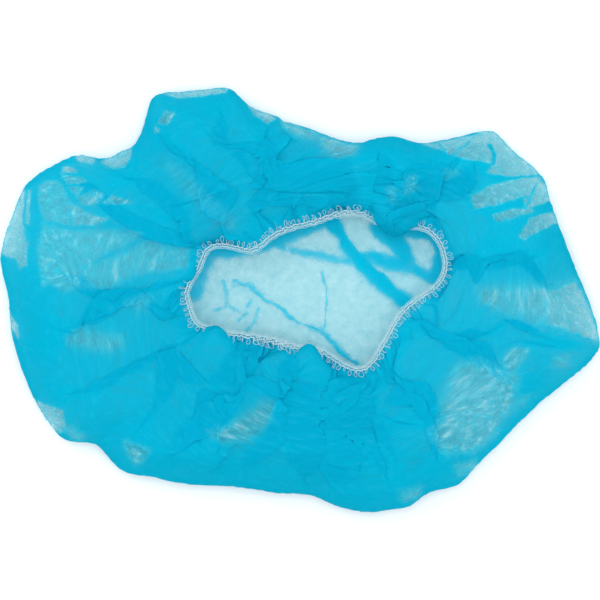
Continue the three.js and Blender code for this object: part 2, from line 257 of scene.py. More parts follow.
# Thin places, where few layers of the upper cloth lie between the folds. Each has how many layers lie
# there before they are scaled by thinned, how soft its edge is, and its corners, all counted in 600ths
# of the camera's frame from its upper left corner.
frame_parts = 600
thinned = 1.3
calm_below = 1.2
thin_places = (
    (0.6, 1.2, ((26, 189), (24, 214), (27, 233), (30, 243), (30, 264), (23, 269), (18, 258), (11, 258),
        (0, 252), (0, 240), (10, 214), (18, 195))),
    (1.0, 1.2, ((29, 190), (31, 190), (32, 205), (31, 225), (28, 222))),
    (1.8, 1.8, ((41, 187), (57, 178), (63, 183), (69, 195), (73, 204), (73, 225), (57, 225), (46, 221),
        (41, 204))),
    (0.9, 1.2, ((76, 156), (90, 151), (96, 162), (93, 165), (80, 161))),
    (1.0, 1.2, ((101, 161), (132, 146), (132, 156), (126, 169), (111, 169))),
    (0.9, 1.2, ((64, 168), (71, 167), (79, 173), (63, 173))),
    (1.2, 1.2, ((63, 175), (84, 178), (90, 184), (69, 185))),
    (1.1, 1.2, ((72, 188), (86, 189), (79, 197))),
    (1.4, 1.2, ((80, 199), (96, 190), (107, 195), (103, 205), (84, 206))),
    (1.0, 1.2, ((104, 205), (115, 197), (132, 202), (132, 205))),
    (1.2, 1.2, ((74, 204), (84, 210), (96, 216), (112, 220), (101, 225), (76, 226))),
    (1.8, 2.0, ((46, 225), (76, 231), (115, 231), (145, 233), (134, 241), (107, 256), (86, 267),
        (84, 287), (67, 292), (55, 283), (46, 287), (41, 252))),
    (1.8, 2.4, ((86, 269), (119, 256), (143, 244), (159, 242), (164, 248), (189, 248), (188, 267),
        (163, 271), (134, 275), (115, 286), (86, 288))),
    (0.85, 1.2, ((164, 95), (178, 88), (230, 86), (226, 94), (191, 99), (176, 99))),
    (1.1, 1.2, ((168, 113), (177, 117), (169, 127), (158, 126))),
    (1.2, 1.2, ((156, 129), (162, 132), (157, 135))),
    (3.0, 5.0, ((206, 130), (216, 129), (220, 143), (208, 141))),
    (0.9, 1.2, ((247, 105), (262, 108), (276, 118), (268, 126), (254, 116))),
    (1.3, 5.0, ((281, 121), (300, 127), (318, 134), (312, 139), (300, 137), (283, 128))),
    (1.2, 5.0, ((319, 137), (331, 139), (346, 144), (357, 147), (352, 155), (334, 158), (323, 150))),
    (0.34, 1.2, ((422, 145), (449, 140), (472, 136), (484, 130), (493, 130), (503, 141), (522, 156),
        (541, 172), (537, 175), (507, 177), (484, 175), (489, 166), (484, 164), (468, 163), (451, 158),
        (438, 152))),
    (0.34, 1.2, ((484, 189), (507, 182), (537, 177), (550, 194), (549, 200), (522, 210), (520, 198),
        (491, 206), (472, 209), (468, 202), (472, 196))),
    (0.4, 1.2, ((489, 216), (510, 210), (526, 210), (530, 212), (503, 221), (491, 221))),
    (0.4, 1.2, ((526, 219), (551, 212), (560, 223), (551, 224), (526, 235), (520, 240), (514, 237))),
    (1.5, 4.0, ((407, 177), (413, 179), (413, 189), (403, 196), (401, 193))),
    (2.2, 5.0, ((438, 172), (457, 172), (457, 177), (442, 177))),
    (1.6, 4.0, ((386, 189), (392, 191), (394, 202), (388, 202))),
    (1.7, 7.0, ((474, 289), (500, 287), (545, 285), (573, 281), (581, 294), (592, 318), (599, 341),
        (577, 335), (540, 324), (500, 312), (478, 301))),
    (1.0, 1.2, ((476, 290), (491, 290), (497, 298), (493, 307), (480, 302))),
    (1.1, 1.2, ((524, 290), (539, 288), (541, 296), (535, 313), (522, 313), (520, 302))),
    (0.5, 1.2, ((545, 292), (572, 282), (579, 292), (591, 317), (599, 340), (583, 336), (564, 328),
        (545, 323), (543, 307))),
    (1.7, 5.0, ((501, 300), (520, 311), (543, 321), (520, 317), (501, 307))),
    (1.8, 5.0, ((500, 288), (522, 296), (520, 304), (503, 298))),
    (1.3, 2.5, ((499, 355), (510, 346), (524, 348), (522, 355), (510, 369), (499, 365))),
    (1.8, 5.0, ((551, 357), (566, 351), (564, 361), (551, 366))),
    (1.25, 8.0, ((453, 367), (472, 359), (491, 367), (510, 371), (512, 382), (507, 395), (509, 403),
        (495, 420), (490, 432), (470, 448), (441, 447), (428, 430), (438, 420), (440, 403),
        (445, 388))),
    (1.9, 5.0, ((510, 397), (526, 394), (520, 403))),
    (1.7, 5.0, ((452, 462), (474, 458), (478, 470), (458, 474))),
    (1.8, 5.0, ((398, 488), (420, 484), (418, 497), (402, 499))),
    (1.8, 5.0, ((128, 304), (142, 296), (154, 296), (150, 304), (136, 310))),
    (1.5, 5.0, ((69, 337), (83, 329), (111, 335), (128, 335), (126, 343), (111, 349), (95, 346),
        (73, 343))),
    (0.8, 1.2, ((9, 312), (19, 325), (20, 338), (10, 328))),
    (0.9, 1.2, ((36, 400), (65, 408), (67, 424), (61, 433), (46, 424))),
    (2.0, 5.0, ((65, 426), (75, 424), (85, 436), (77, 441))),
    (1.5, 4.0, ((126, 438), (152, 446), (148, 454), (138, 462), (128, 450))),
    (1.3, 5.0, ((210, 428), (229, 424), (253, 408), (267, 398), (273, 403), (269, 418), (247, 436),
        (221, 436))),
    (2.6, 5.0, ((168, 377), (186, 375), (184, 381))),
    (2.3, 5.0, ((160, 160), (171, 161), (208, 193), (227, 212), (239, 233), (230, 233), (211, 217),
        (191, 198))),
)


def framed(points):
    """Places over the table, in metres, of points counted in parts of the camera's frame."""
    points = np.array(points, dtype=float)
    middle = (frame_parts - 1) / 2
    across = points[..., 0] - middle
    up = middle - points[..., 1]
    return np.stack((across, up), axis=-1) * framed_width / frame_parts


def from_line(plan, starts, ends):
    """How far points are from the nearest of a line's straight parts, in metres."""
    nearest = np.full(len(plan), 1.0)
    for start, end in zip(starts, ends):
        run = end - start
        away = plan - start
        along = np.clip(away @ run / (run @ run), 0, 1)
        nearest = np.minimum(nearest, np.linalg.norm(away - along[:, None] * run, axis=1))
    return nearest


def inside_by(plan, corners):
    """How far points are inside an outline, in metres, and less than 0 outside it."""
    following = np.roll(corners, -1, axis=0)
    nearest = from_line(plan, corners, following)
    crossings = np.zeros(len(plan), dtype=int)
    for start, end in zip(corners, following):
        run = end - start
        spans = (start[1] > plan[:, 1]) != (end[1] > plan[:, 1])
        meets = start[0] + (plan[:, 1] - start[1]) * run[0] / (run[1] if run[1] else 1e-9)
        crossings += spans & (plan[:, 0] < meets)
    return np.where(crossings % 2 == 1, nearest, -nearest)


thin_outlines = []
for amount, edge, corners in thin_places:
    thin_outlines.append((thinned * amount, edge * framed_width / frame_parts, framed(corners)))


def calm_at(plan):
    """1 well inside the thinnest places and 0 well outside them: folds keep out of these."""
    most = np.zeros(len(plan))
    for amount, edge, corners in thin_outlines:
        if amount < calm_below:
            inside = inside_by(plan[:, :2], corners) + 0.001
            most = np.maximum(most, 0.5 + 0.5 * np.tanh(inside / 0.0024))
    return most


# Folds that run out from the mouth: many fine gathers at the elastic, fewer and broader further out.
# The strength of a ring's folds is sought by halving, until they take up that ring's surplus.
fine_gathers, middle_gathers, broad_gathers = 88, 31, 12
halvings = 12
swing_kept = 0.75
rise_kept = 0.45
fine_start = 1.6 * wander(turn, 6, 2)
middle_start = 2.0 * wander(turn, 5, 2)
broad_start = 1.5 * wander(turn, 4, 1)
lean = 0.7 * wander(turn, 5, 2)
strength = 1 + 0.35 * wander(turn, 7, 3)
points = [np.array(((crown_middle[0], crown_middle[1], under_heights[0]),))]
for ring in range(1, ring_count + 1):
    angle, radius = rows[ring], radii[ring][0]
    place, share = laid_ring(radius, angle)
    ahead = np.roll(place, -1, axis=0) - np.roll(place, 1, axis=0)
    step = radius * 2 * np.pi / len(angle)
    shorter = np.linalg.norm(ahead[:, :2], axis=1) / (2 * step)
    width = max(1.0, len(angle) / 60)
    shorter = round_smooth(shorter, width) if len(angle) > 60 else shorter
    fine = np.sin(fine_gathers * angle + at_turn(fine_start, angle)) * np.clip((share - 0.75) / 0.2, 0, 1)
    middle = np.sin(middle_gathers * angle + at_turn(middle_start, angle))
    middle *= np.clip(share / 0.3, 0, 1) * np.clip(1.25 - share, 0.25, 1)
    broad = np.sin(broad_gathers * angle + at_turn(broad_start, angle))
    broad *= np.clip(1.2 - 1.3 * share, 0, 1)
    folds = (1.1 * fine + 1.0 * middle + 0.7 * broad) * at_turn(strength, angle)
    folds *= 1 - 0.8 * calm_at(place)
    folds *= np.interp(shorter, shortened, swing) * np.clip(share / 0.12, 0, 1)
    target = np.minimum(shorter, 1.0).mean()
    low, high = 0.0, 2.0
    for _ in range(halvings):
        scale = (low + high) / 2
        if np.cos(np.clip(scale * folds, -most_swing, most_swing)).mean() > target:
            low = scale
        else:
            high = scale
    bend = np.clip(swing_kept * scale * folds, -most_swing, most_swing)
    slide = np.cos(bend) - np.minimum(shorter, 1.0)
    slide = np.cumsum(slide - slide.mean()) * step
    rise = np.cumsum(np.sin(bend)) * step
    slide_waves, rise_waves = np.fft.rfft(slide), np.fft.rfft(rise)
    slide_waves[:3] = 0
    rise_waves[:6] = 0
    slide = np.fft.irfft(slide_waves, len(angle))
    rise = np.fft.irfft(rise_waves, len(angle))
    along = ahead[:, :2] / np.maximum(np.linalg.norm(ahead[:, :2], axis=1), 1e-9)[:, None]
    move = slide + at_turn(lean, angle) * rise * np.clip(share * 3, 0, 1) * np.clip((1 - share) * 5, 0, 1)
    move *= np.clip((1 - share) * 7, 0.2, 1)
    place[:, :2] += along * move[:, None]
    place[:, 2] += rise_kept * rise * np.clip(share / 0.15, 0, 1)
    points.append(place)
laid = np.vstack(points)
laid[:, 2] = np.maximum(laid[:, 2], laid_level)

# Main folds: each line is a Z-fold, which lays three layers of the cloth over each other. From and to
# are millimetres from the middle of the lying cap; wide is half the fold's width and over is how far
# it laps, as a share of wide.
main_folds = (
    (-128, -24, -62, -8, 6.0, 1.2),
    (-128, -52, -44, -40, 7.0, 1.2),
    (-72, -86, -20, -48, 6.0, 1.2),
    (-60, -52, -14, -40, 6.0, 1.3),
    (-34, -92, -8, -40, 5.0, 1.2),
    (0, -100, 10, -42, 5.0, 1.3),
    (28, -104, 26, -52, 5.0, 1.3),
    (48, -98, 38, -44, 5.0, 1.3),
    (70, -88, 50, -30, 5.0, 1.2),
    (112, -30, 66, -14, 6.0, 1.2),
    (80, 6, 158, -25, 3.0, 1.2),
    (150, 6, 82, 14, 6.0, 1.2),
    (96, 72, 66, 44, 6.0, 1.3),
    (44, 80, 52, 46, 6.0, 1.3),
    (14, 84, 22, 44, 6.0, 1.3),
    (-14, 92, -4, 44, 6.0, 1.3),
    (-44, 104, -24, 38, 6.0, 1.3),
    (-70, 88, -38, 34, 5.0, 1.2),
    (-92, 66, -52, 32, 5.0, 1.2),
)
main_over = 1.44
fold_lift = 0.0015
side_folds = 26
rim_share = 0.97
fold_bow = 0.12
fold_push = 1.65


def near_rim(where):
    """The place just inside the rim in one direction from the crown's middle."""
    way = np.array((math.cos(where), math.sin(where)))
    return crown_middle + way * float(at_turn(rim_reach, where)) * rim_share


def z_fold(place, share, start, end, wide, over, lift):
    """Laps the cloth over itself along one slightly bowed line, less and less past its ends."""
    run = end - start
    length = np.linalg.norm(run)
    run = run / length
    side_way = np.array((-run[1], run[0]))
    away = place[:, :2] - start
    along = away @ run / length
    bow = fold_bow * math.sin(start[0] * 900) * length * np.sin(np.pi * np.clip(along, 0, 1))
    across = (away @ side_way + bow) / wide
    bell = np.exp(-0.5 * across**2) * share
    bell *= np.clip(np.minimum(along + 0.12, 1.12 - along) / 0.3, 0, 1) ** 2
    push = fold_push * across * bell
    place[:, :2] -= (push * over * wide)[:, None] * side_way
    place[:, 2] += push * lift


def lap_along(place, share, lines, over_by, lift):
    """Laps the cloth along lines in millimetres: from, to, half width and how far over."""
    for start_x, start_y, end_x, end_y, wide, over in lines:
        start, end = np.array((start_x, start_y)) / 1000, np.array((end_x, end_y)) / 1000
        z_fold(place, share, start, end, wide / 1000, over_by * over, lift)


upper = np.concatenate([np.clip((r - at_turn(under_length, a)) / 0.02, 0, 1) for r, a in zip(radii, rows)])
near_hem = np.concatenate([np.clip((cut_radius - r) / 0.012, 0, 1) for r in radii])
foldable = upper * near_hem * (1 - calm_at(laid))
lap_along(laid, foldable, main_folds, main_over, fold_lift)
for _ in range(side_folds):
    where = draws.uniform(0, 2 * np.pi)
    out = near_rim(where)
    mouth_end = np.array([float(at_turn(hem_line[:, k], where + draws.normal() * 0.12)) for k in range(2)])
    begin, finish = draws.uniform(0.0, 0.4), draws.uniform(0.7, 1.0)
    start, end = out + (mouth_end - out) * begin, out + (mouth_end - out) * finish
    wide, over = draws.uniform(0.005, 0.009), draws.uniform(1.25, 1.6)
    z_fold(laid, foldable, start, end, wide, over, fold_lift)
laid[:, 2] = np.maximum(laid[:, 2], laid_level)

flat = np.vstack([np.column_stack((r * np.cos(a), r * np.sin(a))) for r, a in zip(radii, rows)])
faces = []
first = [0] + [1 + 3 * ring * (ring - 1) for ring in range(1, ring_count + 2)]
for ring in range(1, ring_count + 1):
    inner_count, outer_count = 6 * (ring - 1), 6 * ring
    for sector in range(6):
        for k in range(ring):
            outer_a = first[ring] + (sector * ring + k) % outer_count
            outer_b = first[ring] + (sector * ring + k + 1) % outer_count
            if ring == 1:
                inner_a = 0
            else:
                inner_a = first[ring - 1] + (sector * (ring - 1) + k) % inner_count
            faces.append((inner_a, outer_a, outer_b))
            if k < ring - 1:
                inner_b = first[ring - 1] + (sector * (ring - 1) + k + 1) % inner_count
                faces.append((inner_a, outer_b, inner_b))
cloth_mesh = bpy.data.meshes.new("bouffant_cloth")
cloth_mesh.from_pydata([tuple(point) for point in laid], [], faces)
cloth = bpy.data.objects.new("bouffant_cloth", cloth_mesh)
scene.collection.objects.link(cloth)
cut_map = cloth_mesh.uv_layers.new(name="cut_map")
corners = read(cloth_mesh.loops, "vertex_index", kind=np.int32)
cut_map.data.foreach_set("uv", (flat[corners] / (2 * cut_radius) + 0.5).astype(np.float32).ravel())

# In settling the hem is held where it is sewn, and the rim nearly so
settle_frames = 16
rim_hold = 0.8
rim_held_half = 0.006
most_moved = 0.006
hold = cloth.vertex_groups.new(name="hold")
hold.add(list(range(first[ring_count], len(laid))), 1.0, "REPLACE")
for ring in range(ring_count):
    close = np.abs(radii[ring][0] - at_turn(under_length, rows[ring])) < rim_held_half
    hold.add([int(first[ring] + k) for k in np.nonzero(close)[0]], rim_hold, "REPLACE")

# The cloth settles: its surplus buckles into small folds, and it rests on the table
table.modifiers.new("resting", "COLLISION")
table.collision.thickness_outer = 0.0005
cloth.shape_key_add(name="laid")
cut_key = cloth.shape_key_add(name="flat_cut")
cut_key.data.foreach_set("co", np.column_stack((flat, np.zeros(len(flat)))).astype(np.float32).ravel())
cloth.active_shape_key_index = 0
settling = cloth.modifiers.new("settling", "CLOTH")
settling.settings.quality = 8
settling.settings.mass = 0.02
settling.settings.tension_stiffness = 25
settling.settings.compression_stiffness = 25
settling.settings.shear_stiffness = 10
settling.settings.bending_stiffness = 0.05
settling.settings.tension_damping = 2
settling.settings.compression_damping = 2
settling.settings.shear_damping = 2
settling.settings.bending_damping = 0.5
settling.settings.air_damping = 3
settling.settings.vertex_group_mass = "hold"
settling.settings.rest_shape_key = cut_key
settling.settings.effector_weights.gravity = 0.1
settling.collision_settings.use_collision = True
settling.collision_settings.distance_min = 0.0005
settling.collision_settings.use_self_collision = False
settling.point_cache.frame_start = 1
settling.point_cache.frame_end = settle_frames
for moment in range(1, settle_frames + 1):
    scene.frame_set(moment)
settled = cloth.evaluated_get(bpy.context.evaluated_depsgraph_get()).to_mesh()
rest = read(settled.vertices, "co", 3)
cloth.modifiers.remove(settling)
cloth.shape_key_clear()
table.modifiers.remove(table.modifiers["resting"])
scene.frame_set(1)
moved = rest - laid
far = np.linalg.norm(moved, axis=1, keepdims=True)
moved *= np.minimum(1.0, most_moved / np.maximum(far, 1e-9))
cloth_mesh.vertices.foreach_set("co", (laid + moved).astype(np.float32).ravel())
cloth_mesh.update()

bpy.context.view_layer.objects.active = cloth
cloth.select_set(True)
finer = cloth.modifiers.new("finer", "SUBSURF")
finer.levels = 1
finer.render_levels = 1
bpy.ops.object.modifier_apply(modifier="finer")
bpy.ops.object.shade_smooth()

# Thin creases that show once the cloth lies still, first those of the crown inside the mouth
crown_creases = (
    (-35, 10, -20, 0.5, 0.9, 1.2),
    (-20, 0.5, -1, -12, 0.9, 1.2),
    (-1, -12, 16, -22, 1.0, 1.2),
    (16, -22, 31, -34, 1.2, 1.2),
    (11.5, 14.5, 14, -0.5, 0.8, 1.0),
    (14, -0.5, 13, -15.5, 0.8, 1.0),
    (19, 38, 33, 20, 3.6, 0.9),
    (33, 20, 55, -2, 3.6, 0.9),
    (-28, -1, -33, -12, 0.8, 1.0),
    (-13, 29, 27, 20, 1.6, 1.0),
    (40, 14, 62, 10, 1.6, 1.0),
    (-48, -8, -28, -6, 1.0, 1.0),
)
# Creases where the cloth lies in more layers: half width, how many layers more, and points along it,
# counted as the thin places are
crown_bands = (
    (0.9, 2.2, ((234, 280), (248, 285), (262, 298), (278, 306))),
    (1.1, 2.6, ((278, 306), (290, 316), (297, 322), (310, 327))),
    (1.7, 3.0, ((310, 327), (320, 330), (330, 340), (340, 351), (356, 363))),
    (0.8, 1.8, ((321, 272), (325, 284), (326, 300), (324, 328))),
    (6.5, 4.0, ((326, 216), (340, 232), (348, 247))),
    (7.5, 4.0, ((346, 244), (363, 264), (384, 284), (403, 299))),
    (2.2, 1.6, ((275, 245), (295, 250), (315, 253), (350, 262))),
    (4.0, 2.6, ((349, 249), (380, 257), (414, 268), (434, 279))),
    (8.0, 3.0, ((378, 228), (396, 240), (408, 256))),
    (7.0, 3.0, ((384, 222), (404, 228), (426, 232))),
    (5.0, 2.6, ((432, 232), (440, 252), (434, 277))),
    (7.0, 2.0, ((206, 250), (228, 250), (262, 243), (298, 229), (320, 221))),
    (8.0, 1.4, ((208, 252), (198, 272), (193, 292))),
    (2.0, 1.5, ((276, 243), (300, 236), (322, 222))),
    (1.0, 1.2, ((222, 280), (226, 292), (226, 306))),
    (0.9, 1.4, ((250, 300), (246, 312), (238, 320))),
    (0.7, 1.0, ((232, 286), (250, 282), (262, 296))),
    (0.8, 1.2, ((214, 310), (228, 306), (240, 312))),
    (1.0, 1.2, ((258, 308), (254, 322), (246, 330))),
)
# Light rounded places between those layers: middle and radius
crown_panes = ((361, 237, 13), (423, 250, 12))
band_layers = 1.8
# Creases across the thin places of the upper cloth
side_creases = (
    (4.6, 3.5, ((37, 184), (36, 214), (35, 250), (36, 296), (34, 330))),
    (1.0, 2.5, ((27, 196), (25, 214), (27, 232), (29, 242))),
    (1.4, 3.5, ((40, 186), (57, 178), (63, 181), (72, 196), (84, 207), (107, 214))),
    (1.0, 2.0, ((63, 173), (82, 175), (94, 180))),
    (1.5, 3.5, ((44, 222), (76, 228), (118, 226), (162, 231))),
    (1.1, 2.4, ((72, 202), (74, 225), (77, 264))),
    (2.0, 3.2, ((86, 268), (115, 252), (141, 240), (162, 231))),
    (1.1, 2.6, ((158, 260), (168, 257), (185, 261))),
    (1.0, 1.2, ((48, 230), (50, 256), (56, 284))),
    (0.8, 1.0, ((58, 232), (60, 256), (66, 286))),
    (0.9, 2.5, ((79, 187), (84, 195), (80, 199))),
    (0.9, 3.0, ((449, 157), (460, 149), (472, 138))),
    (1.1, 3.2, ((437, 143), (443, 154))),
    (2.0, 4.0, ((486, 147), (491, 157), (489, 166))),
    (1.3, 2.5, ((484, 181), (507, 179), (539, 175))),
    (1.5, 3.0, ((491, 208), (510, 202), (524, 198))),
    (1.6, 3.0, ((534, 185), (528, 196), (522, 208))),
    (1.6, 3.0, ((491, 225), (520, 217), (537, 209), (549, 203))),
    (2.0, 4.0, ((452, 290), (466, 299), (501, 315), (539, 326), (577, 336), (597, 346))),
    (1.0, 1.6, ((478, 372), (488, 386), (484, 402))),
    (0.9, 1.4, ((455, 392), (470, 402), (498, 398))),
    (1.2, 1.4, ((448, 420), (466, 412), (490, 416))),
    (0.9, 1.4, ((500, 356), (508, 360), (516, 356))),
    (0.9, 1.4, ((553, 300), (561, 308), (558, 322))),
    (0.8, 1.2, ((528, 292), (532, 302), (528, 312))),
)
now_at = read(cloth_mesh.vertices, "co", 3).astype(float)
corner_at = read(cloth_mesh.loops, "vertex_index", kind=np.int32)
cut_at = (read(cloth_mesh.uv_layers["cut_map"].data, "uv", 2) - 0.5) * 2 * cut_radius
cut_place = np.zeros((len(now_at), 2))
cut_place[corner_at] = cut_at
cut_turn = np.arctan2(cut_place[:, 1], cut_place[:, 0]) % (2 * np.pi)
from_middle = np.linalg.norm(cut_place, axis=1)
crown_part = np.clip((at_turn(under_length, cut_turn) - from_middle) / 0.02, 0, 1)
side_part = np.clip((from_middle - at_turn(under_length, cut_turn) + 0.005) / 0.004, 0, 1)
side_part *= np.clip((cut_radius - from_middle) / 0.008, 0, 1)
quads = corner_at.reshape(-1, 4)
quads_round = np.bincount(quads.ravel(), minlength=len(now_at))


def evened(amounts, times):
    """Amounts at the cloth's points, averaged that many times with their neighbours."""
    for _ in range(times):
        mean = amounts[quads].mean(1).repeat(4)
        amounts = np.bincount(quads.ravel(), weights=mean, minlength=len(amounts)) / quads_round
    return amounts


def band_at(plan, line, half_wide):
    """1 along the middle of a band that follows a line of points, and 0 outside it."""
    nearest = from_line(plan, line[:-1], line[1:])
    nearest += 0.0002 * np.sin(plan[:, 0] / 0.0011) * np.sin(plan[:, 1] / 0.0013)
    return 0.5 - 0.5 * np.tanh((nearest - half_wide) / min(0.001, half_wide / 1.5))


def in_mouth_at(plan):
    """Whether points are within the box round the mouth."""
    lowest, highest = band_points[:, :2].min(0), band_points[:, :2].max(0)
    return ((plan[:, :2] > lowest) & (plan[:, :2] < highest)).all(1)


def shell_top(place):
    """The height of the puffed shell's upper side at each point's place."""
    heights = place[:, 2].copy()
    for k, (x, y) in enumerate(place[:, :2]):
        hit = cap_shell.ray_cast(Vector((x, y, 0.1)), Vector((0.0, 0.0, -1.0)))[0]
        if hit is not None:
            heights[k] = hit[2]
    return heights


# No part of the upper cloth hangs out past the folded rim, and the puffs stand as high as the shell's,
# with a little of the folds' relief
rim_back = 0.0015
rim_half = 0.0018
flatten_times = 40
puff_times = 10
below_shell = 0.0006
relief_kept = 0.15
lowest_cloth = 0.0002
now_turn = np.arctan2(now_at[:, 1] - crown_middle[1], now_at[:, 0] - crown_middle[0]) % (2 * np.pi)
now_reach = np.linalg.norm(now_at[:, :2] - crown_middle, axis=1)
kept_reach = np.minimum(now_reach, at_turn(rim_reach, now_turn) - 0.0002)
past_rim = from_middle - at_turn(under_length, cut_turn)
at_rim = np.clip(1.8 - np.abs(past_rim) / rim_half, 0, 1)
kept_reach += (at_turn(rim_reach, now_turn) - rim_back - kept_reach) * at_rim
kept_share = (kept_reach / np.maximum(now_reach, 1e-9))[:, None]
now_at[:, :2] = crown_middle + (now_at[:, :2] - crown_middle) * kept_share
relief = now_at[:, 2] - evened(now_at[:, 2], flatten_times)
puffed = evened(shell_top(now_at), puff_times) - below_shell + relief * relief_kept
puffed_part = np.clip(past_rim / 0.02, 0, 1)
puffed_part *= np.clip((cut_radius - from_middle) / 0.016, 0, 1)
now_at[:, 2] += (puffed - now_at[:, 2]) * puffed_part
# The crown lies on the table
now_at[:, 2] -= (now_at[:, 2].min() - lowest_cloth) * (1 - puffed_part)
# The side cloth stays outside the elastic, except where it is laid over it
mouth_line = mouth_by_turn[:, :2]
within = (inside_by(now_at[:, :2], mouth_line[::6]) > 0) & (side_part > 0)
for k in np.nonzero(within)[0]:
    now_at[k, :2] = mouth_line[np.argmin(np.linalg.norm(mouth_line - now_at[k, :2], axis=1))]
# Here the cloth lies over the elastic and hides it: middle, half size and push, in millimetres
laps = ((52, 47, 13, -2, -10), (-46, -22, 9, 2, 7), (4, -31, 7, 1, 7), (-63, 14, 9, 7, -1))
for lap_x, lap_y, half, push_x, push_y in laps:
    near_lap = np.exp(-np.hypot(now_at[:, 0] * 1000 - lap_x, now_at[:, 1] * 1000 - lap_y) ** 2 / half**2)
    near_lap *= side_part * np.clip((from_middle - cut_radius + 0.04) / 0.015, 0, 1)
    now_at += near_lap[:, None] * np.array((push_x, push_y, 3.0)) / 1000
# A few more thin folds run out from the mouth over the puffs
late_folds = 12
late_lift = 0.0003
foldable = side_part * (1 - calm_at(now_at))
for _ in range(late_folds):
    where, begin = draws.uniform(0, 2 * np.pi), draws.uniform(0.0, 0.75)
    out = near_rim(where)
    mouth_end = np.array([float(at_turn(hem_line[:, k], where)) for k in range(2)])
    start = out + (mouth_end - out) * begin
    heading = (mouth_end - out) / np.linalg.norm(mouth_end - out)
    skew = draws.normal() * 0.5
    heading = np.array((heading[0] - skew * heading[1], heading[1] + skew * heading[0]))
    end = start + heading * draws.uniform(0.012, 0.04)
    wide, over = draws.uniform(0.0018, 0.003), draws.uniform(0.7, 1.0)
    z_fold(now_at, foldable, start, end, wide, over, late_lift)
now_at[:, 2] += (evened(now_at[:, 2], 3) - now_at[:, 2]) * side_part * 0.7
# A fine flutter of ridges, as in crushed nonwoven
flutter_fine = 70
flutter_deep = 0.0001
flutter = np.array([
    noise.ridged_multi_fractal((x * flutter_fine, y * flutter_fine, 0.0), 0.9, 2.1, 3, 1.0, 1.6)
    for x, y in cut_place
])
flutter = (flutter - flutter.mean()) / flutter.std()
upward = read(cloth_mesh.vertices, "normal", 3)
now_at += upward * (np.clip(flutter, -2, 2) * flutter_deep * side_part)[:, None]
now_at[:, 2] = np.maximum(now_at[:, 2], lowest_cloth)
cloth_mesh.vertices.foreach_set("co", now_at.astype(np.float32).ravel())
cloth_mesh.update()

# How much cloth is crumpled into each place: the cut's own area against the area that it shows
cut_quads = cut_at.reshape(-1, 4, 2)
cut_area = 0.5 * np.abs(np.cross(cut_quads[:, 2] - cut_quads[:, 0], cut_quads[:, 3] - cut_quads[:, 1]))
corner_a, corner_b, corner_c, corner_d = (now_at[quads[:, corner]] for corner in range(4))
crossed = 0.5 * np.cross(corner_c - corner_a, corner_d - corner_b)
now_area = np.maximum(np.abs(crossed[:, 2]), 0.4 * np.linalg.norm(crossed, axis=1))
gathered_cut, gathered_now = np.zeros(len(now_at)), np.zeros(len(now_at))
for corner in range(4):
    np.add.at(gathered_cut, quads[:, corner], cut_area)
    np.add.at(gathered_now, quads[:, corner], now_area)
gathered_cut, gathered_now = evened(gathered_cut, 3), evened(gathered_now, 3)
least_crowding, most_crowding = 0.9, 2.5
crowding = np.clip(gathered_cut / np.maximum(gathered_now, 1e-12), least_crowding, most_crowding)


def mark_points(name, values):
    """Keeps one value for each of the cloth's points, for the mesh's finer rounds and its material."""
    mark = cloth_mesh.attributes.new(name, "FLOAT", "POINT")
    mark.data.foreach_set("value", values.astype(np.float32))


mark_points("crowding", crowding)
mark_points("crown", crown_part)
mark_points("side", side_part)

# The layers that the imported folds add, how far every edge strays in metres, and how far panes spread
massed = 4.5
edge_stray = 0.0003
pane_spread = 0.6


def layers_at(plan, crown_share, side_share, wider=0.0):
    """How many layers of the cloth are packed together at each point, or so near to it."""
    stray_x = np.sin(plan[:, 0] / 0.0013 + 1.7 * np.sin(plan[:, 1] / 0.0021))
    stray_y = np.cos(plan[:, 1] / 0.0015 + 1.5 * np.sin(plan[:, 0] / 0.0019))
    plan = plan + edge_stray * np.column_stack((stray_x, stray_y))
    crown_layers = np.ones(len(plan))
    for half_wide, more, line in crown_bands:
        near_line = band_at(plan, framed(line), half_wide * framed_width / frame_parts + wider)
        crown_layers = np.maximum(crown_layers, 1 + band_layers * more * near_line)
    for pane_x, pane_y, pane_radius in crown_panes:
        from_pane = np.linalg.norm(plan - framed((pane_x, pane_y)), axis=1)
        outside = 0.5 + 0.5 * np.tanh((from_pane - pane_radius * framed_width / frame_parts) / 0.001)
        crown_layers = 1 + (crown_layers - 1) * outside
    side_layers = np.full(len(plan), 1 + massed)
    for amount, edge, corners in thin_outlines:
        inside = 0.5 + 0.5 * np.tanh(inside_by(plan, corners) / edge + pane_spread)
        side_layers = np.minimum(side_layers, 1 + massed + (amount - 1 - massed) * inside)
    for half_wide, more, line in side_creases:
        near_line = band_at(plan, framed(line), half_wide * framed_width / frame_parts + wider)
        side_layers = np.maximum(side_layers, (1 + more) * near_line)
    return (1 + (crown_layers - 1) * crown_share) * (1 + (side_layers - 1) * side_share)


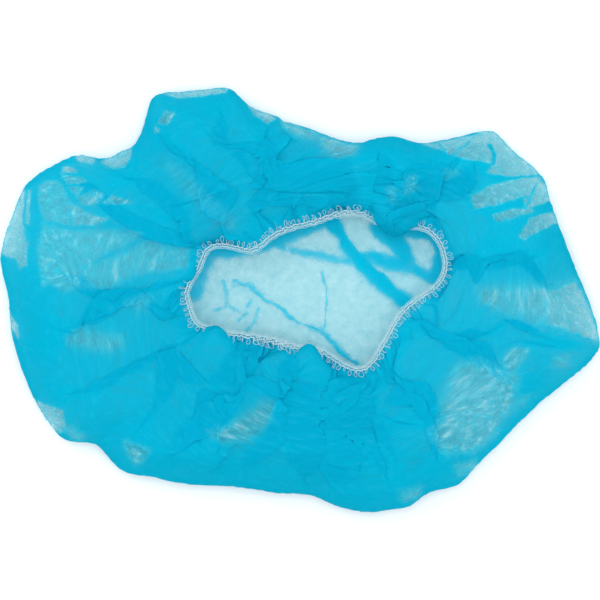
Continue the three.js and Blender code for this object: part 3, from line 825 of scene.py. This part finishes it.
# The mesh is made finer where the number of layers changes, so that the creases' edges are sharp, and
# once all over the thin places
uneven_layers = (0.45, 0.75)
look_wider = (0.0009, 0.0004)
thin_below = 2.6
clear_of_table = 0.004
for finer_round in range(len(uneven_layers) + 1):
    now_at = read(cloth_mesh.vertices, "co", 3).astype(float)
    crown_part = read(cloth_mesh.attributes["crown"].data, "value")
    side_part = read(cloth_mesh.attributes["side"].data, "value")
    layers = layers_at(now_at[:, :2], crown_part, side_part)
    if finer_round == len(uneven_layers):
        break
    corner_at = read(cloth_mesh.loops, "vertex_index", kind=np.int32)
    face_start = read(cloth_mesh.polygons, "loop_start", kind=np.int32)
    thick = np.log(layers_at(now_at[:, :2], crown_part, side_part, look_wider[finer_round]))[corner_at]
    change = np.maximum.reduceat(thick, face_start) - np.minimum.reduceat(thick, face_start)
    uneven = change > uneven_layers[finer_round]
    if finer_round == 0:
        thin_here = (layers[corner_at] < thin_below) & (side_part[corner_at] > 0.5)
        uneven |= np.maximum.reduceat(thin_here, face_start)
    off_table = np.abs(now_at[corner_at, 2]) > clear_of_table
    in_sight = np.maximum.reduceat(off_table | in_mouth_at(now_at[corner_at]), face_start)
    bpy.ops.object.mode_set(mode="EDIT")
    bpy.ops.mesh.select_mode(type="FACE")
    bpy.ops.mesh.select_all(action="DESELECT")
    bpy.ops.object.mode_set(mode="OBJECT")
    cloth_mesh.polygons.foreach_set("select", uneven & in_sight)
    bpy.ops.object.mode_set(mode="EDIT")
    bpy.ops.mesh.subdivide(number_cuts=1)
    bpy.ops.object.mode_set(mode="OBJECT")

# The cloth's walls look denser from the side. Within the thin places it is uneven, with streaks that
# run along the rim
wall_layers = 1.5
streak_long = 30.0
streak_wide = 0.003
streak_depth = 0.75
fleck_fine = 420
fleck_share = 0.6
uneven_side = 1.2
uneven_crown = 0.42
level_share = np.abs(read(cloth_mesh.vertices, "normal", 3)[:, 2])
steep = side_part * np.clip((0.5 - level_share) / 0.3, 0, 1)
layers = np.maximum(layers, 1 + wall_layers * steep)
streaks = np.zeros(len(now_at))
off_middle = now_at[:, :2] - crown_middle
streak_turn = np.arctan2(off_middle[:, 1], off_middle[:, 0])
streak_reach = np.linalg.norm(off_middle, axis=1)
thin_share = side_part * np.clip((4.2 - layers) / 2.2, 0, 1)
bare_crown = (1 - side_part) * np.clip((1.9 - layers) / 0.8, 0, 1)
# Painted shade and light: the bare crown inside the mouth is painted darker, and the thin places paler,
# than the massed cloth
painted_shade_and_light = 0.5 + 0.33 * thin_share - 0.5 * bare_crown
for k in np.nonzero(thin_share > 0)[0]:
    round_way, out_way = streak_turn[k] * streak_long, streak_reach[k] / streak_wide
    fleck_x, fleck_y = now_at[k, :2] * fleck_fine
    streaks[k] = noise.noise((round_way, out_way, 0.0))
    streaks[k] += fleck_share * noise.noise((fleck_x, fleck_y, 7.0))
layers *= np.exp(streak_depth * streaks * thin_share)
unevenness = uneven_crown + (uneven_side - uneven_crown) * thin_share
mark_points("unevenness", unevenness)
mark_points("painted_shade_and_light", painted_shade_and_light)
crowd = cloth_mesh.attributes["crowding"]
crowding = 1 + (read(crowd.data, "value") - 1) * np.clip((layers - 1) / 3, 0, 1)
crowd.data.foreach_set("value", (crowding * layers).astype(np.float32))
crease_over = 0.6
crease_lift = 0.0004
fold_edge_degrees = 50
lap_along(now_at, crown_part, crown_creases, crease_over, crease_lift)
now_at[:, 2] = np.maximum(now_at[:, 2], lowest_cloth)
cloth_mesh.vertices.foreach_set("co", now_at.astype(np.float32).ravel())
for part_name in ("crown", "side"):
    cloth_mesh.attributes.remove(cloth_mesh.attributes[part_name])
cloth_mesh.update()
bpy.ops.object.shade_smooth_by_angle(angle=math.radians(fold_edge_degrees))

# The nonwoven: cyan fibres that let much of the light through, thinner and thicker by patches. Its colour
# goes from a painted shade on the bare crown inside the mouth, through the cloth's own cyan where it lies
# in many layers, to a painted light on the thin places, whitest where the patches are densest.
mean_cover = 0.36
least_cover, most_cover = 0.2, 0.85
patch_scale = 115.0
# The ramps' stops go from painted shade for the bare crown, through the cloth's own cyan in many layers, to
# painted light for the thin places and their whitest fibres
tone_stops = (0.5, 0.8)
whiter_by = 0.65
fibre_tones_with_painted_shade_and_light = ((0.05, 0.57, 0.76), (0.0, 0.66, 0.99), (0.06, 0.77, 0.99), (0.46, 0.9, 0.99))
glow_tones_with_painted_shade_and_light = ((0.03, 0.42, 0.44), (0.0, 0.48, 0.53), (0.05, 0.58, 0.66), (0.38, 0.74, 0.79))
gap_tint = (0.93, 1.0, 1.0, 1.0)
nonwoven = bpy.data.materials.new("cyan_nonwoven")
nonwoven.use_nodes = True
nodes, links = nonwoven.node_tree.nodes, nonwoven.node_tree.links
fibre_shader = nodes["Principled BSDF"]
fibre_shader.inputs["Roughness"].default_value = 0.85
fibre_shader.inputs["Specular IOR Level"].default_value = 0.02
uv = nodes.new("ShaderNodeUVMap")
uv.uv_map = "cut_map"
patches = nodes.new("ShaderNodeTexNoise")
patches.inputs["Scale"].default_value = patch_scale
patches.inputs["Detail"].default_value = 3.0
patches.inputs["Roughness"].default_value = 0.62
links.new(uv.outputs["UV"], patches.inputs["Vector"])
glow = nodes.new("ShaderNodeBsdfTranslucent")


def marked(name):
    """A value that mark_points keeps on the cloth."""
    reader = nodes.new("ShaderNodeAttribute")
    reader.attribute_name = name
    return reader.outputs["Fac"]


def worked_out(operation, *terms):
    """The result of one sum in the material, from numbers and other nodes' results."""
    sum_node = nodes.new("ShaderNodeMath")
    sum_node.operation = operation
    for place_in_sum, term in enumerate(terms):
        if isinstance(term, float):
            sum_node.inputs[place_in_sum].default_value = term
        else:
            links.new(term, sum_node.inputs[place_in_sum])
    return sum_node.outputs["Value"]


from_mean = worked_out("SUBTRACT", patches.outputs["Fac"], 0.5)
swayed = worked_out("MULTIPLY_ADD", from_mean, marked("unevenness"), mean_cover)
cover = nodes.new("ShaderNodeClamp")
cover.inputs["Min"].default_value = least_cover
cover.inputs["Max"].default_value = most_cover
links.new(swayed, cover.inputs["Value"])
denser = worked_out("SUBTRACT", swayed, mean_cover)
whiter = worked_out("MULTIPLY_ADD", denser, whiter_by, marked("painted_shade_and_light"))
for lit_node, lit_socket, tones in ((fibre_shader, "Base Color", fibre_tones_with_painted_shade_and_light), (glow, "Color", glow_tones_with_painted_shade_and_light)):
    tone_ramp = nodes.new("ShaderNodeValToRGB")
    for stop_at in tone_stops:
        tone_ramp.color_ramp.elements.new(stop_at)
    for stop, colour in zip(tone_ramp.color_ramp.elements, tones):
        stop.color = (*colour, 1.0)
    links.new(whiter, tone_ramp.inputs["Fac"])
    links.new(tone_ramp.outputs["Color"], lit_node.inputs[lit_socket])
both = nodes.new("ShaderNodeMixShader")
both.inputs["Fac"].default_value = 0.5
gaps = nodes.new("ShaderNodeBsdfTransparent")
gaps.inputs["Color"].default_value = gap_tint
veil = nodes.new("ShaderNodeMixShader")
links.new(fibre_shader.outputs["BSDF"], both.inputs[1])
links.new(glow.outputs["BSDF"], both.inputs[2])
# Each layer lets the same share of the light through, so layers multiply
see_through = worked_out("SUBTRACT", 1.0, cover.outputs["Result"])
stacked = worked_out("POWER", see_through, marked("crowding"))
links.new(worked_out("SUBTRACT", 1.0, stacked), veil.inputs["Fac"])
links.new(gaps.outputs["BSDF"], veil.inputs[1])
links.new(both.outputs["Shader"], veil.inputs[2])
links.new(veil.outputs["Shader"], nodes["Material Output"].inputs["Surface"])
wrinkle = nodes.new("ShaderNodeBump")
wrinkle.inputs["Strength"].default_value = 0.6
wrinkle.inputs["Distance"].default_value = 0.0006
links.new(patches.outputs["Fac"], wrinkle.inputs["Height"])
links.new(wrinkle.outputs["Normal"], fibre_shader.inputs["Normal"])
links.new(wrinkle.outputs["Normal"], glow.inputs["Normal"])
cloth.data.materials.clear()
cloth.data.materials.append(nonwoven)
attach(cloth, "root")
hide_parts("cap_cloth")

# The elastic
# Two thin white elastic cords side by side, wrapped in fine thread, run along the hem all round the
# mouth. They are sewn on stretched, so they draw the cloth together when they are let go.
cord_radius = 0.00023
cord_offset = 0.00068
wrap_radius = 0.00011
wrap_pitch = 0.0024
band_level = 0.0003
line_steps = 1200


def along_mouth(share, outward, level):
    """Points beside the mouth's line: outward of it and above it by so much, in metres."""
    here = mouth_at(share)
    ahead = mouth_at(share + 0.002) - mouth_at(share - 0.002)
    ahead[:, 2] = 0.0
    ahead /= np.linalg.norm(ahead, axis=1)[:, None]
    out_way = np.column_stack((ahead[:, 1], -ahead[:, 0], np.zeros(len(ahead))))
    raised = np.array((0, 0, 1)) * np.asarray(level)[..., None]
    return here + out_way * np.asarray(outward)[..., None] + raised


def thread_curve(name, lines, radius, sides):
    """One mesh of round closed threads, each along one line of points."""
    curve = bpy.data.curves.new(name, "CURVE")
    curve.dimensions = "3D"
    curve.bevel_depth = radius
    curve.bevel_resolution = sides
    for line in lines:
        spline = curve.splines.new("POLY")
        spline.points.add(len(line) - 1)
        weighted = np.column_stack((line, np.ones(len(line))))
        spline.points.foreach_set("co", weighted.astype(np.float32).ravel())
        spline.use_cyclic_u = True
    thread = bpy.data.objects.new(name, curve)
    scene.collection.objects.link(thread)
    bpy.ops.object.select_all(action="DESELECT")
    bpy.context.view_layer.objects.active = thread
    thread.select_set(True)
    bpy.ops.object.convert(target="MESH")
    bpy.ops.object.shade_smooth()
    return bpy.context.object


white_thread = bpy.data.materials.new("white_thread")
white_thread.use_nodes = True
thread_nodes, thread_links = white_thread.node_tree.nodes, white_thread.node_tree.links
thread_shader = thread_nodes["Principled BSDF"]
thread_shader.inputs["Roughness"].default_value = 0.8
thread_shader.inputs["Specular IOR Level"].default_value = 0.2
fuzz_place = thread_nodes.new("ShaderNodeTexCoord")
fuzz = thread_nodes.new("ShaderNodeTexNoise")
fuzz.inputs["Scale"].default_value = 900.0
fuzz.inputs["Detail"].default_value = 3.0
thread_links.new(fuzz_place.outputs["Object"], fuzz.inputs["Vector"])
thread_tone = thread_nodes.new("ShaderNodeValToRGB")
thread_tone.color_ramp.elements[0].position = 0.3
thread_tone.color_ramp.elements[0].color = (0.36, 0.62, 0.7, 1.0)
thread_tone.color_ramp.elements[1].position = 0.65
thread_tone.color_ramp.elements[1].color = (0.62, 0.79, 0.83, 1.0)
thread_links.new(fuzz.outputs["Fac"], thread_tone.inputs["Fac"])
thread_links.new(thread_tone.outputs["Color"], thread_shader.inputs["Base Color"])
thread_bump = thread_nodes.new("ShaderNodeBump")
thread_bump.inputs["Strength"].default_value = 0.5
thread_bump.inputs["Distance"].default_value = 0.0002
thread_links.new(fuzz.outputs["Fac"], thread_bump.inputs["Height"])
thread_links.new(thread_bump.outputs["Normal"], thread_shader.inputs["Normal"])

band_share = np.arange(line_steps) / line_steps
# The cords waver a little between the stitches
ripple = 0.00012 * np.sin(2 * np.pi * band_share * 150) + 0.0001 * np.sin(2 * np.pi * band_share * 61)
cords = [
    along_mouth(band_share, side_of * cord_offset + ripple, np.full(line_steps, band_level))
    for side_of in (-1, 1)
]
wraps = round(mouth_length / wrap_pitch)
wrap_steps = wraps * 9
wrap_share = np.arange(wrap_steps) / wrap_steps
wrap_turn = 2 * np.pi * wraps * wrap_share
wrap_line = along_mouth(
    wrap_share,
    (cord_offset + cord_radius + wrap_radius) * np.cos(wrap_turn),
    band_level + (cord_radius + wrap_radius) * np.sin(wrap_turn),
)
elastic = thread_curve("elastic_cords", cords, cord_radius, 2)
elastic.data.materials.append(white_thread)
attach(elastic, "root")
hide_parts("elastic_band")
elastic_wrap = thread_curve("elastic_wrap", [wrap_line], wrap_radius, 0)
elastic_wrap.data.materials.append(white_thread)
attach(elastic_wrap, "root")


# The overlock stitching
# An overlock machine sews the elastic to the hem: its looper thread stands out in open loops over the
# gathered cloth, and a small chain runs along the elastic's inner side.
loop_pitch = 0.0027
loop_radius = 0.00012
loop_half = 0.0017
chain_inward = 0.0013
loops = round(mouth_length / loop_pitch)
loop_steps = loops * 22
loop_share = np.arange(loop_steps) / loop_steps
loop_turn = 2 * np.pi * loops * loop_share
uneven_length = 1 + 0.22 * np.sin(2 * np.pi * 37 * loop_share + 1.0)
uneven_length += 0.15 * np.sin(2 * np.pi * 83 * loop_share)
uneven_lean = 0.5 * np.sin(2 * np.pi * 29 * loop_share) + 0.4 * np.sin(2 * np.pi * 71 * loop_share + 2.0)
outer_reach = 0.0002 + loop_half * (1 - np.cos(loop_turn)) * uneven_length
outer_slide = 0.0012 * np.sin(loop_turn) + 0.0005 * uneven_lean * (1 - np.cos(loop_turn))
outer_along = loop_share + outer_slide / mouth_length
outer_level = 0.0009 + 0.0006 * np.sin(loop_turn / 2 + 1.3) + 0.0004 * np.sin(loop_turn)
outer_loops = along_mouth(outer_along, outer_reach, outer_level)
chain_turn = 2 * loop_turn
inner_reach = -chain_inward - 0.0005 * np.cos(chain_turn) * uneven_length
inner_along = loop_share + 0.0007 * np.sin(chain_turn) / mouth_length
inner_chain = along_mouth(inner_along, inner_reach, 0.0004 + 0.0003 * np.sin(chain_turn))
stitches = thread_curve("overlock_stitches", [outer_loops, inner_chain], loop_radius, 0)
stitches.data.materials.append(white_thread)
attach(stitches, "root")
